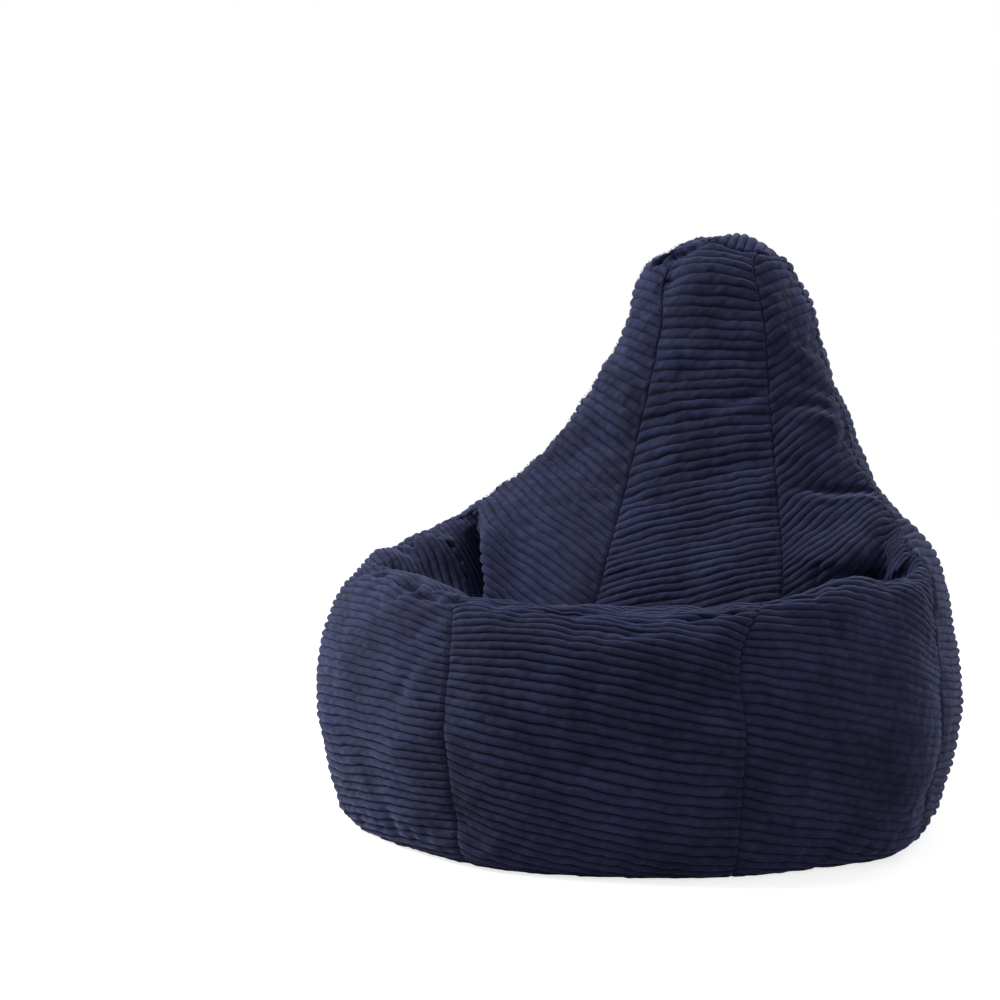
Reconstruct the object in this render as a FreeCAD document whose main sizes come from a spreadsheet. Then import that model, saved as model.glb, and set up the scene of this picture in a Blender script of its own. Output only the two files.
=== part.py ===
import FreeCAD, Part
import math
import os

# Bean bag chair: a six-gore teardrop cover with a crown cap and a base panel, a seat hollow pushed into its
# front, a puller-less zip in the back gore, and a zipped liner that holds the bead fill.
# Millimetres. +Z is up, the front faces -Y and the origin is at the centre of the base, on the floor.

PARTS = "parts"
REACH = 700.0          # longer than any piece reaches from the bag's axis
FULL_TURN = 360.0
BACK = 90.0            # direction of the bag's back, degrees about +Z
LOFT_START = 30.0      # the rings' own start point, in the middle of a gore, clear of every seam
WALL_REACH = 12.0      # zones that cut a piece out of the wall reach this far either side of it
GORE_NAMES = ["front_gore", "front_right_gore", "back_right_gore",
              "back_gore", "back_left_gore", "front_left_gore"]

# Driving dimensions: alias, value, meaning.
SIZES = [
    ("base_radius", 345.0, "edge of the flat underside"),
    ("foot_rise", 55.0, "underside to the ring that carries the cover zip"),
    ("foot_radius", 411.0, "outside at the cover zip"),
    ("wall_rise", 55.0, "cover zip to the ring that carries the liner zip"),
    ("wall_radius", 433.0, "outside at the liner zip"),
    ("belly_rise", 90.0, "liner zip to the widest ring"),
    ("belly_radius", 440.0, "widest ring"),
    ("rim_rise", 105.0, "widest ring to the seat rim"),
    ("rim_radius", 418.0, "outside at the seat rim"),
    ("rim_setback", 8.0, "ring centre behind the base centre"),
    ("arm_rise", 65.0, "seat rim to the arms"),
    ("arm_radius", 352.0, "outside at the arms"),
    ("arm_setback", 42.0, "ring centre behind the base centre"),
    ("arm_lean", 10.0, "ring centre to +X of the base centre"),
    ("waist_rise", 75.0, "arms to the waist"),
    ("waist_radius", 264.0, "outside at the waist"),
    ("waist_setback", 104.0, "ring centre behind the base centre"),
    ("waist_lean", 30.0, "ring centre to +X of the base centre"),
    ("back_rise", 100.0, "waist to the shoulders"),
    ("back_radius", 187.0, "outside at the shoulders"),
    ("back_setback", 168.0, "ring centre behind the base centre"),
    ("back_lean", 52.0, "ring centre to +X of the base centre"),
    ("neck_rise", 136.0, "shoulders to the neck"),
    ("neck_radius", 142.0, "outside at the neck"),
    ("neck_setback", 206.0, "ring centre behind the base centre"),
    ("neck_lean", 66.0, "ring centre to +X of the base centre"),
    ("crown_seam_rise", 98.0, "neck to the crown cap's seam"),
    ("crown_seam_radius", 108.0, "outside at the crown cap's seam"),
    ("crown_setback", 216.0, "ring centre behind the base centre"),
    ("crown_lean", 72.0, "ring centre to +X of the base centre"),
    ("crown_rise", 40.0, "crown cap's seam to the top"),
    ("crown_radius", 62.0, "flat of the crown cap"),
    ("seat_width_radius", 296.0, "half width of the seat hollow"),
    ("seat_depth_radius", 255.0, "half depth of the seat hollow"),
    ("seat_height_radius", 370.0, "half height of the seat hollow"),
    ("seat_forward", 190.0, "hollow's centre in front of the base centre"),
    ("seat_level", 230.0, "lowest point of the seat hollow above the floor"),
    ("base_seam_height", 12.0, "base panel's turned-up edge"),
    ("cover_thickness", 3.0, "cord cloth, ribs included"),
    ("cloth_clearance", 0.3, "between pieces that lie on each other"),
    ("slack", 5.0, "air between the cover and the liner at the sides"),
    ("liner_thickness", 1.0, "inner bag"),
    ("fill_slack", 3.5, "air between the liner and the beads at the sides"),
    ("seam_tape_thickness", 1.0, "binding over the seam allowances"),
    ("seam_tape_width", 14.0, "binding over the seam allowances"),
    ("seam_tape_top_gap", 6.0, "binding ends this far below the crown seam"),
    ("zip_half_angle", 26.0, "half of the cover zip, degrees about the bag's axis"),
    ("liner_zip_half_angle", 20.0, "half of the liner zip, degrees about the bag's axis"),
    ("tape_width", 13.0, "one side of a zip, chain excluded"),
    ("tape_thickness", 1.2, "zip tape"),
    ("row_width", 2.6, "one row of zip elements, along the wall"),
    ("row_gap", 1.8, "between the two rows, where the slider's post runs"),
    ("row_depth", 2.4, "zip element through the wall"),
    ("element_pitch", 5.0, "from one zip element to the next"),
    ("element_length", 3.4, "zip element along the chain"),
    ("slider_length", 17.0, "along the chain"),
    ("slider_width", 13.0, "across the chain"),
    ("slider_plate", 1.4, "thickness of each slider plate"),
    ("slider_clearance", 0.4, "between the slider and the chain"),
    ("slider_post", 0.8, "thickness of the post between the plates"),
    ("stop_length", 3.0, "end stop along the chain"),
    ("garage_length", 46.0, "flap over the parked slider"),
    ("garage_width", 30.0, "flap over the parked slider"),
    ("garage_lift", 3.6, "flap's inside above the wall"),
    ("garage_thickness", 1.5, "flap cloth"),
    ("garage_hem", 6.0, "flap's sewn edge"),
    ("label_width", 38.0, "blank care label"),
    ("label_drop", 30.0, "blank care label"),
    ("label_thickness", 0.6, "blank care label"),
]

doc = FreeCAD.newDocument("bean_bag_chair")
sheet = doc.addObject("Spreadsheet::Sheet", "sizes")
for row, (alias, value, meaning) in enumerate(SIZES, start=1):
    sheet.set("A%d" % row, meaning)
    sheet.set("B%d" % row, str(value))
    sheet.setAlias("B%d" % row, alias)
doc.recompute()


def size(alias):
    """A driving dimension, read from the sheet."""
    return float(sheet.get(alias))


# The bag's rings from the floor up: name, rise from the ring below, radius, set-back, lean.
RINGS = [
    ("base", None, "base_radius", None, None),
    ("foot", "foot_rise", "foot_radius", None, None),
    ("wall", "wall_rise", "wall_radius", None, None),
    ("belly", "belly_rise", "belly_radius", None, None),
    ("rim", "rim_rise", "rim_radius", "rim_setback", None),
    ("arm", "arm_rise", "arm_radius", "arm_setback", "arm_lean"),
    ("waist", "waist_rise", "waist_radius", "waist_setback", "waist_lean"),
    ("back", "back_rise", "back_radius", "back_setback", "back_lean"),
    ("neck", "neck_rise", "neck_radius", "neck_setback", "neck_lean"),
    ("crown_seam", "crown_seam_rise", "crown_seam_radius", "crown_setback", "crown_lean"),
    ("crown", "crown_rise", "crown_radius", "crown_setback", "crown_lean"),
]

nodes = {}


def keep(name, item):
    """Give a finished sub-part the label that names its file."""
    item.Label = name
    nodes[name] = item
    return item


def height_expression(index):
    """Sum of the rises from the floor to a ring, as an expression on the sheet."""
    rises = [ring[1] for ring in RINGS[1:index + 1]]
    return " + ".join("sizes." + rise for rise in rises) if rises else "0"


def ring_height(index):
    """Height of a ring above the floor."""
    return sum(size(ring[1]) for ring in RINGS[1:index + 1])


def ring_index(name):
    return [ring[0] for ring in RINGS].index(name)


def bag_loft(name, side, low, top):
    """The bag's outline drawn in by `side` all round, `low` at the floor and `top` at the crown."""
    sections = []
    for index, (ring, _, radius, setback, lean) in enumerate(RINGS):
        circle = doc.addObject("Part::Circle", "%s_%s" % (name, ring))
        circle.setExpression("Radius", "sizes.%s - (%s)" % (radius, side))
        level = height_expression(index)
        if index == 0:
            level = low
        if index == len(RINGS) - 1:
            level = "%s - (%s)" % (level, top)
        circle.setExpression("Placement.Base.z", level)
        if setback:
            circle.setExpression("Placement.Base.y", "sizes." + setback)
        if lean:
            circle.setExpression("Placement.Base.x", "sizes." + lean)
        circle.Placement.Rotation = FreeCAD.Rotation(FreeCAD.Vector(0, 0, 1), LOFT_START)
        sections.append(circle)
    loft = doc.addObject("Part::Loft", name)
    loft.Sections = sections
    loft.Solid = True
    loft.Ruled = False
    return loft


def seat_hollow(name, grow):
    """The space a sitter presses into the front of the bag, grown by `grow`."""
    hollow = doc.addObject("Part::Ellipsoid", name)
    hollow.setExpression("Radius1", "sizes.seat_height_radius + %s" % grow)
    hollow.setExpression("Radius2", "sizes.seat_width_radius + %s" % grow)
    hollow.setExpression("Radius3", "sizes.seat_depth_radius + %s" % grow)
    hollow.Angle1 = -90
    hollow.Angle2 = 90
    hollow.Angle3 = FULL_TURN
    hollow.setExpression("Placement.Base.y", "-sizes.seat_forward")
    hollow.setExpression("Placement.Base.z", "sizes.seat_level + sizes.seat_height_radius")
    return hollow


def cut(name, base, tool):
    item = doc.addObject("Part::Cut", name)
    item.Base = base
    item.Tool = tool
    return item


def common(name, base, tool):
    item = doc.addObject("Part::Common", name)
    item.Base = base
    item.Tool = tool
    return item


def bag_layer(name, side, low, top):
    """One nested solid of the bag: its outline less the seat hollow."""
    return cut(name, bag_loft(name + "_outline", side, low, top), seat_hollow(name + "_seat", side))


def fixed(name, shape):
    """A shape that no feature fits, set from Part's own functions."""
    item = doc.addObject("Part::Feature", name)
    item.Shape = shape
    return item


# ---- Nested layers, from the outside in ----
COVER_IN = "sizes.cover_thickness"
TAPE_OUT = COVER_IN + " + sizes.cloth_clearance"
TAPE_IN = TAPE_OUT + " + sizes.seam_tape_thickness"
LINER_OUT = COVER_IN + " + sizes.slack"
LINER_IN = LINER_OUT + " + sizes.liner_thickness"
LINER_LOW = COVER_IN + " + sizes.cloth_clearance"
LINER_LOW_IN = LINER_LOW + " + sizes.liner_thickness"
FILL_OUT = LINER_IN + " + sizes.fill_slack"
FILL_LOW = LINER_LOW_IN + " + sizes.cloth_clearance"

cover_outside = bag_layer("cover_outside", "0", "0", "0")
cover_outline = cover_outside.Base
cover_inside = bag_layer("cover_inside", COVER_IN, COVER_IN, COVER_IN)
binding_outside = bag_layer("binding_outside", TAPE_OUT, TAPE_OUT, TAPE_OUT)
binding_inside = bag_layer("binding_inside", TAPE_IN, TAPE_IN, TAPE_IN)
liner_outside = bag_layer("liner_outside", LINER_OUT, LINER_LOW, LINER_OUT)
liner_inside = bag_layer("liner_inside", LINER_IN, LINER_LOW_IN, LINER_IN)
bead_fill = keep("bead_fill", bag_layer("bead_fill_solid", FILL_OUT, FILL_LOW, FILL_OUT))
cover_shell = cut("cover_shell", cover_outside, cover_inside)
binding_shell = cut("binding_shell", binding_outside, binding_inside)
liner_shell = cut("liner_shell", liner_outside, liner_inside)
doc.recompute()


# ---- Shapes that follow the bag's leaning axis ----
def axis_points(low, high):
    """The bag's axis between two heights: ring centres, carried straight on at both ends."""
    centres = []
    for index, (_, _, _, setback, lean) in enumerate(RINGS):
        centre = FreeCAD.Vector(size(lean) if lean else 0.0, size(setback) if setback else 0.0, 0.0)
        centre.z = ring_height(index)
        centres.append(centre)
    inner = [centre for centre in centres if low < centre.z < high]
    first = FreeCAD.Vector(inner[0].x, inner[0].y, low)
    last = FreeCAD.Vector(inner[-1].x, inner[-1].y, high)
    return [first] + inner + [last]


def along_axis(outline, low, high):
    """A solid whose flat outline (points about the axis) slides along the bag's axis."""
    points = axis_points(low, high)
    blocks = []
    for start, end in zip(points, points[1:]):
        corners = [start + corner for corner in outline]
        face = Part.Face(Part.makePolygon(corners + corners[:1]))
        blocks.append(face.extrude(end - start))
    return blocks[0].fuse(blocks[1:])


def direction(angle, length):
    turn = math.radians(angle)
    return FreeCAD.Vector(length * math.cos(turn), length * math.sin(turn), 0)


def sector(middle, half):
    """Outline of a wedge about the axis."""
    return [FreeCAD.Vector(0, 0, 0), direction(middle - half, REACH), direction(middle + half, REACH)]


def strip(angle, width):
    """Outline of a thin radial strip from the axis outwards."""
    side = direction(angle + 90.0, width / 2)
    inner = direction(angle, width)
    outer = direction(angle, REACH)
    return [inner - side, outer - side, outer + side, inner + side]


# ---- Zips: everything is a profile turned about the bag's upright axis ----
def wall_radius(level):
    """Radius of the bag's outline at the back, at a height above the floor."""
    ray = Part.makeLine(FreeCAD.Vector(0, 0, level), direction(BACK, REACH) + FreeCAD.Vector(0, 0, level))
    return cover_outline.Shape.common(ray).BoundBox.YMax


def wall_frame(ring, inset, span):
    """Radius, height and tilt of the back wall at a ring, `inset` inside the outline, over `span` each way."""
    level = ring_height(ring_index(ring))
    run = wall_radius(level + span) - wall_radius(level - span)
    return wall_radius(level) - inset, level, math.atan2(run, 2 * span)


def wall_band(name, outer, inner, zone):
    """The piece of cloth between two depths of the bag's outline that lies in a zone."""
    within = common(name + "_within", bag_loft(name + "_outer", outer, "0", "0"), fixed(name + "_zone", zone))
    return cut(name + "_part", within, bag_loft(name + "_inner", inner, "0", "0"))


def turned(frame, box, start, end):
    """A box given across and up the wall (out from, out to, up from, up to), turned from start to end."""
    radius, level, tilt = frame
    out_low, out_high, up_low, up_high = box
    points = []
    for out, up in ((out_low, up_low), (out_high, up_low), (out_high, up_high), (out_low, up_high)):
        across = radius + out * math.cos(tilt) + up * math.sin(tilt)
        above = level - out * math.sin(tilt) + up * math.cos(tilt)
        points.append(FreeCAD.Vector(across, 0, above))
    face = Part.Face(Part.makePolygon(points + points[:1]))
    face.rotate(FreeCAD.Vector(0, 0, 0), FreeCAD.Vector(0, 0, 1), start)
    return face.revolve(FreeCAD.Vector(0, 0, 0), FreeCAD.Vector(0, 0, 1), end - start)


def zip_set(prefix, ring, inset, wall, half_angle):
    """Tapes, two rows of elements, stops and a slider, in the wall between two depths (aliases to add up)."""
    depth = sum(size(alias) for alias in inset)
    half_gap = size("row_gap") / 2
    row_edge = half_gap + size("row_width")
    tape_edge = row_edge + size("tape_width")
    frame = wall_frame(ring, depth, tape_edge)
    radius, _, tilt = frame
    arc = 180.0 / math.pi / radius            # degrees per millimetre along the chain
    start, end = BACK - half_angle, BACK + half_angle
    gap = size("cloth_clearance")
    middle = -size(wall) / 2 * math.cos(tilt)
    half_row = size("row_depth") / 2
    stop = size("stop_length") * arc

    slot = (-WALL_REACH, WALL_REACH, -tape_edge - gap, tape_edge + gap)
    opening = turned(frame, slot, start - gap * arc, end + gap * arc)
    centre = " + ".join(["sizes." + alias for alias in inset] + ["sizes.%s / 2" % wall])
    for word, sign in (("upper", 1), ("lower", -1)):
        near, far = sorted((sign * row_edge, sign * tape_edge))
        zone = turned(frame, (-WALL_REACH, WALL_REACH, near, far), start, end)
        keep(prefix + "_tape_" + word,
             wall_band(prefix + "_tape_" + word, centre + " - sizes.tape_thickness / 2",
                       centre + " + sizes.tape_thickness / 2", zone))
        near, far = sorted((sign * half_gap, sign * row_edge))
        row = (middle - half_row, middle + half_row, near, far)
        pitch = size("element_pitch") * arc
        length = size("element_length") * arc
        count = int((end - start - 2 * stop) / pitch)
        first = BACK - (count - 1) * pitch / 2 + sign * (pitch - length) / 4
        elements = [turned(frame, row, first + k * pitch - length / 2, first + k * pitch + length / 2)
                    for k in range(count)]
        keep(prefix + "_elements_" + word,
             fixed(prefix + "_elements_" + word, Part.makeCompound(elements)))
    stop_box = (middle - half_row, middle + half_row, -row_edge, row_edge)
    for word, low in (("start", start), ("end", end - stop)):
        keep(prefix + "_stop_" + word,
             fixed(prefix + "_stop_" + word, turned(frame, stop_box, low, low + stop)))

    # The slider: two plates that hug the chain and the post that joins them between the rows.
    reach = half_row + size("slider_clearance")
    plate = size("slider_plate")
    half_width = size("slider_width") / 2
    half_post = size("slider_post") / 2
    parked = start + stop + gap * arc
    leave = parked + size("slider_length") * arc
    outer = turned(frame, (middle + reach, middle + reach + plate, -half_width, half_width), parked, leave)
    inner = turned(frame, (middle - reach - plate, middle - reach, -half_width, half_width), parked, leave)
    third = (leave - parked) / 3
    post = turned(frame, (middle - reach - plate / 2, middle + reach + plate / 2, -half_post, half_post),
                  parked + third, leave - third)
    keep(prefix + "_slider", fixed(prefix + "_slider", outer.fuse([post, inner])))
    travel = (end - stop - gap * arc) - leave
    print("%s slider: travel %.4f degrees about +Z, radius %.2f, height %.2f" %
          (prefix, travel, radius, frame[1]))
    return opening, frame, parked


cover_slot, cover_frame, parked = zip_set(
    "cover_zip", "foot", [], "cover_thickness", size("zip_half_angle"))
liner_slot, _, _ = zip_set(
    "liner_zip", "wall", ["cover_thickness", "slack"], "liner_thickness", size("liner_zip_half_angle"))

# ---- Cover: crown cap, base panel and six gores ----
top = ring_height(len(RINGS) - 1)
crown_seam = ring_height(ring_index("crown_seam"))
base_seam = size("base_seam_height")
gap = size("cloth_clearance")
above = Part.makeBox(2 * REACH, 2 * REACH, top, FreeCAD.Vector(-REACH, -REACH, crown_seam + gap))
below = Part.makeBox(2 * REACH, 2 * REACH, base_seam - gap + REACH, FreeCAD.Vector(-REACH, -REACH, -REACH))
keep("crown_cap", common("crown_cap_part", cover_shell, fixed("above_crown_seam", above)))
keep("base_panel", common("base_panel_part", cover_shell, fixed("below_base_seam", below)))

half_gore = FULL_TURN / len(GORE_NAMES) / 2
seam_angles = [BACK + half_gore + k * 2 * half_gore for k in range(len(GORE_NAMES))]
for number, name in enumerate(GORE_NAMES):
    middle = -BACK + number * 2 * half_gore
    # Each gore stops half the cloth clearance short of its seams.
    inset = direction(middle, gap / 2 / math.sin(math.radians(half_gore)))
    outline = [corner + inset for corner in sector(middle, half_gore)]
    wedge = along_axis(outline, base_seam, crown_seam)
    if name == "back_gore":
        wedge = wedge.cut(cover_slot)
    slice_of_bag = common(name + "_slice", cover_outside, fixed(name + "_wedge", wedge))
    keep(name, cut(name + "_part", slice_of_bag, cover_inside))

# ---- Bindings over the seam allowances, inside the cover ----
gore_tapes = []
tape_top = crown_seam - size("seam_tape_top_gap")
tape_low = base_seam + size("seam_tape_width")
for angle in seam_angles:
    gore_tapes.append(along_axis(strip(angle, size("seam_tape_width")), tape_low, tape_top))
tape_zone = fixed("gore_binding_zone", Part.makeCompound(gore_tapes))
keep("gore_seam_bindings", common("gore_seam_bindings_part", binding_shell, tape_zone))
ring_box = Part.makeBox(2 * REACH, 2 * REACH, size("seam_tape_width") - gap,
                        FreeCAD.Vector(-REACH, -REACH, base_seam))
keep("base_seam_binding",
     common("base_seam_binding_part", binding_shell, fixed("base_binding_zone", ring_box)))
ring_box = Part.makeBox(2 * REACH, 2 * REACH, size("seam_tape_width"),
                        FreeCAD.Vector(-REACH, -REACH, tape_top + gap))
keep("crown_seam_binding",
     common("crown_seam_binding_part", binding_shell, fixed("crown_binding_zone", ring_box)))

# ---- Flap that hides the parked slider, and the blank label in the back gore's seam ----
def outer_band(name, inner, outer, zone):
    """Cloth outside the cover, between two heights above it."""
    return wall_band(name, "-(%s)" % outer, "-(%s)" % inner, zone)


def flap_zone(low, high, start, end):
    """A stretch of the wall about the cover zip, across the chain from low to high."""
    return turned(cover_frame, (-WALL_REACH, 2 * WALL_REACH, low, high), start, end)


arc = 180.0 / math.pi / cover_frame[0]
half_flap = size("garage_width") / 2
hem = size("garage_hem")
flap_start = parked - (size("stop_length") + hem + 2 * gap) * arc
flap_end = flap_start + size("garage_length") * arc
LIFT = "sizes.garage_lift"
SKIN = LIFT + " + sizes.garage_thickness"
skin = outer_band("garage_skin", LIFT, SKIN, flap_zone(-half_flap, half_flap, flap_start, flap_end))
hems = [flap_zone(half_flap - hem, half_flap, flap_start, flap_end),
        flap_zone(-half_flap, hem - half_flap, flap_start, flap_end),
        flap_zone(-half_flap, half_flap, flap_start, flap_start + hem * arc / 2)]
sewn = outer_band("garage_sewn", "sizes.cloth_clearance", SKIN, hems[0].fuse(hems[1:]))
flap = doc.addObject("Part::MultiFuse", "zip_garage_fused")
flap.Shapes = [skin, sewn]
keep("zip_garage", flap)

label_frame = wall_frame("wall", 0.0, size("label_drop") / 2)
label_arc = 180.0 / math.pi / label_frame[0]
half_drop = size("label_drop") / 2
label_zone = turned(label_frame, (-WALL_REACH, WALL_REACH, -half_drop, half_drop),
                    seam_angles[0], seam_angles[0] + size("label_width") * label_arc)
keep("care_label", outer_band("care_label", "sizes.cloth_clearance",
                              "sizes.cloth_clearance + sizes.label_thickness", label_zone))

# ---- Liner: wall and base ----
liner_seam = base_seam
liner_low = Part.makeBox(2 * REACH, 2 * REACH, liner_seam - gap + REACH, FreeCAD.Vector(-REACH, -REACH, -REACH))
liner_high = Part.makeBox(2 * REACH, 2 * REACH, top, FreeCAD.Vector(-REACH, -REACH, liner_seam))
keep("liner_base", common("liner_base_part", liner_shell, fixed("below_liner_seam", liner_low)))
keep("liner_wall", common("liner_wall_part", liner_shell,
                          fixed("above_liner_seam", liner_high.cut(liner_slot))))

doc.recompute()

# ---- Checks, then the files ----
for item in doc.Objects:
    if "Invalid" in item.State or "Error" in item.State:
        raise RuntimeError("failed object: %s %s" % (item.Name, item.State))
for name, item in nodes.items():
    shape = item.Shape
    if shape.isNull() or not shape.isValid() or not shape.Solids:
        raise RuntimeError("bad shape: " + name)
os.makedirs(PARTS, exist_ok=True)
for name, item in nodes.items():
    item.Shape.exportStep(os.path.join(PARTS, name + ".step"))
    box = item.Shape.BoundBox
    print("%-22s solids %3d volume %12.0f  x %7.1f %7.1f  y %7.1f %7.1f  z %7.1f %7.1f" %
          (name, len(item.Shape.Solids), item.Shape.Volume,
           box.XMin, box.XMax, box.YMin, box.YMax, box.ZMin, box.ZMax))
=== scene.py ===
import math

import bpy
import numpy as np
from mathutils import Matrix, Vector


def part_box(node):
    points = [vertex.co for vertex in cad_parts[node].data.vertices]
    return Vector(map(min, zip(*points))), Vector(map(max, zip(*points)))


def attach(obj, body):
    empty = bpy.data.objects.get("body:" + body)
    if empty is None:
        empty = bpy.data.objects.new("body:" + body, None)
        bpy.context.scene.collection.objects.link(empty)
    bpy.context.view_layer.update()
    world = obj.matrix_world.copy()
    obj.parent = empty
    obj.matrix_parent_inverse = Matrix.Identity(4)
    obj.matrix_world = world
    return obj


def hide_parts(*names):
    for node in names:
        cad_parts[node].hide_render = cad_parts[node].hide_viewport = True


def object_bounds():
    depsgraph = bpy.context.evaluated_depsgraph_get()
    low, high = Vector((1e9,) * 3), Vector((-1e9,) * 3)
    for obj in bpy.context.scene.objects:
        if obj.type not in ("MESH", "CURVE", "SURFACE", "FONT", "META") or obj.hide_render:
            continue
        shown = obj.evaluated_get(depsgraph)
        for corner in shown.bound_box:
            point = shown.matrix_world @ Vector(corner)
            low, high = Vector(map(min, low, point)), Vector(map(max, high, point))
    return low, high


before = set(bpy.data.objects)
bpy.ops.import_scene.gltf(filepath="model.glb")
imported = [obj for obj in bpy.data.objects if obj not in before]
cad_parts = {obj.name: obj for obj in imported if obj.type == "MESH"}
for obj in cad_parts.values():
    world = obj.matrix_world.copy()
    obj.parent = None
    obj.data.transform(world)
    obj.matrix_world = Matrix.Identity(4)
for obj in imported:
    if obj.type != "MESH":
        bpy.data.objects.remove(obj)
CAD_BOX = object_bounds()

bl_info = {
    "name": "Cord Bean Bag Chair",
    "version": (1, 0, 0),
    "blender": (4, 5, 0),
    "location": "3D View > Sidebar > Bean Bag",
    "description": "Sews, fills and finishes a six-panel bean bag chair in jumbo cord",
    "category": "Add Mesh",
}

BODY = "bag"
NOMINAL_WIDTH = 0.88       # metres across the belly for which the outline below is drawn
NOMINAL_HEIGHT = 0.819     # metres to the crown

GORES = ["front_gore", "front_right_gore", "back_right_gore",
         "back_gore", "back_left_gore", "front_left_gore"]

# The belly's outline from the base edge up: radius and height, the same in every direction.
BELLY = [(0.384, 0.000), (0.400, 0.015), (0.411, 0.050), (0.427, 0.110), (0.435, 0.200), (0.424, 0.272)]

# The upper outline of each seam and each panel's middle, from the rim up to the crown seam.
# Each entry: its name, its direction below the rim in degrees, then x, y, z of eleven places.
UPPER = [
    ("front middle", -88, [
        (.030, -.380, .317), (.042, -.325, .312), (.060, -.250, .270), (.074, -.165, .250),
        (.084, -.085, .322), (.082, -.020, .408), (.078, .042, .508), (.078, .078, .612),
        (.077, .096, .706), (.076, .112, .766), (.098, .150, .791)
    ]),
    ("front right seam", -62, [
        (.213, -.332, .326), (.205, -.283, .318), (.205, -.215, .288), (.206, -.150, .272),
        (.203, -.080, .335), (.191, -.020, .410), (.173, .042, .508), (.159, .082, .615),
        (.147, .104, .702), (.131, .132, .766), (.134, .160, .784)
    ]),
    ("right wing", -38, [
        (.330, -.215, .349), (.312, -.180, .338), (.300, -.125, .285), (.300, -.045, .292),
        (.296, -.030, .368), (.272, .015, .430), (.238, .065, .510), (.207, .108, .612),
        (.182, .138, .702), (.156, .170, .770), (.150, .184, .780)
    ]),
    ("right seam", -18, [
        (.401, -.118, .322), (.392, -.095, .354), (.372, -.050, .382), (.347, .000, .404),
        (.326, .045, .430), (.294, .085, .472), (.263, .125, .542), (.231, .160, .627),
        (.203, .190, .705), (.168, .207, .770), (.156, .209, .783)
    ]),
    ("back right middle", 24, [
        (.378, .180, .320), (.362, .185, .350), (.338, .188, .378), (.318, .192, .405),
        (.298, .198, .437), (.272, .212, .487), (.241, .232, .557), (.211, .250, .637),
        (.186, .258, .710), (.156, .256, .770), (.148, .240, .786)
    ]),
    ("back right seam", 57, [
        (.228, .355, .320), (.226, .352, .350), (.222, .346, .380), (.216, .340, .410),
        (.208, .334, .445), (.196, .328, .497), (.182, .325, .565), (.166, .320, .640),
        (.146, .312, .712), (.118, .292, .772), (.128, .258, .792)
    ]),
    ("back middle", 90, [
        (.000, .420, .320), (.006, .416, .350), (.012, .410, .380), (.018, .402, .412),
        (.024, .394, .450), (.034, .382, .505), (.048, .370, .570), (.060, .360, .645),
        (.066, .344, .714), (.068, .306, .774), (.098, .264, .798)
    ]),
    ("back left seam", 123, [
        (-.228, .355, .320), (-.216, .352, .350), (-.200, .346, .380), (-.178, .340, .410),
        (-.152, .334, .445), (-.118, .328, .497), (-.078, .325, .565), (-.044, .320, .640),
        (-.014, .312, .712), (.016, .290, .774), (.070, .256, .804)
    ]),
    ("back left middle", 156, [
        (-.378, .180, .320), (-.350, .185, .352), (-.314, .188, .380), (-.278, .192, .408),
        (-.242, .198, .440), (-.188, .212, .490), (-.130, .232, .560), (-.084, .250, .640),
        (-.052, .258, .712), (-.024, .252, .777), (.044, .236, .813)
    ]),
    ("left seam", 190, [
        (-.403, -.060, .322), (-.370, -.045, .351), (-.327, -.015, .376), (-.286, .020, .400),
        (-.254, .050, .426), (-.193, .085, .474), (-.131, .125, .547), (-.090, .160, .632),
        (-.063, .190, .708), (-.038, .205, .777), (.038, .209, .815)
    ]),
    ("left wing", 215, [
        (-.320, -.215, .345), (-.292, -.175, .338), (-.250, -.125, .298), (-.222, -.075, .300),
        (-.224, -.025, .360), (-.196, .020, .428), (-.130, .075, .508), (-.074, .110, .610),
        (-.046, .138, .704), (-.026, .168, .775), (.046, .182, .812)
    ]),
    ("front left seam", 249, [
        (-.155, -.362, .328), (-.135, -.305, .318), (-.100, -.235, .280), (-.058, -.160, .262),
        (-.038, -.085, .330), (-.031, -.020, .410), (-.021, .042, .508), (-.004, .080, .615),
        (.006, .104, .702), (.012, .134, .770), (.068, .160, .806)
    ]),
]
CROWN_TOP = (0.100, 0.208, 0.814)      # the middle of the crown cap

# How far the ribs run off level, degrees rising to the right, at each share of a panel from its base edge up.
SLANT_SHARES = [0.0, 0.22, 0.34, 0.46, 0.56, 0.66, 0.78, 0.90, 1.0]
RIB_SLANTS = {
    "front_gore": [-4, -2, 3, 8, 21, 16, 6, 2, 0],
    "front_right_gore": [6, 6, 8, 11, 15, 24, 34, 24, 8],
    "front_left_gore": [-4, -9, -13, -8, -5, -8, -8, -8, 0],
    "back_right_gore": [0, 2, 0, -4, -8, -6, 4, 2, 0],
    "back_gore": [0, -2, 2, 4, 2, -3, 2, 2, 0],
    "back_left_gore": [0, -2, 2, 6, 8, 6, -2, -2, 0],
}
# How wide the cord is drawn, as a share of its pitch: gathered over the rim, stretched over the crown.
DRAW_SHARES = [0.0, 0.17, 0.25, 0.32, 0.42, 0.60, 0.84, 1.0]
CORD_DRAW = [0.96, 1.0, 0.80, 0.80, 0.98, 1.0, 1.27, 1.27]

COARSE_ACROSS = 16         # grid steps from a seam to the middle of its panel
COARSE_UP = 150            # grid steps from the base edge to the crown seam
FINE_ACROSS = 100          # steps across a finished panel
ROWS_PER_RIB = 8           # mesh rows from one rib to the next
FLAT_SKIP = 2              # every second grid row is enough to lay a panel flat
FLAT_TURNS = 14            # rounds of fitting when a panel is laid flat
PANEL_LENGTH = 1.3         # metres up a panel, near enough to fade things at its two ends

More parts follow.
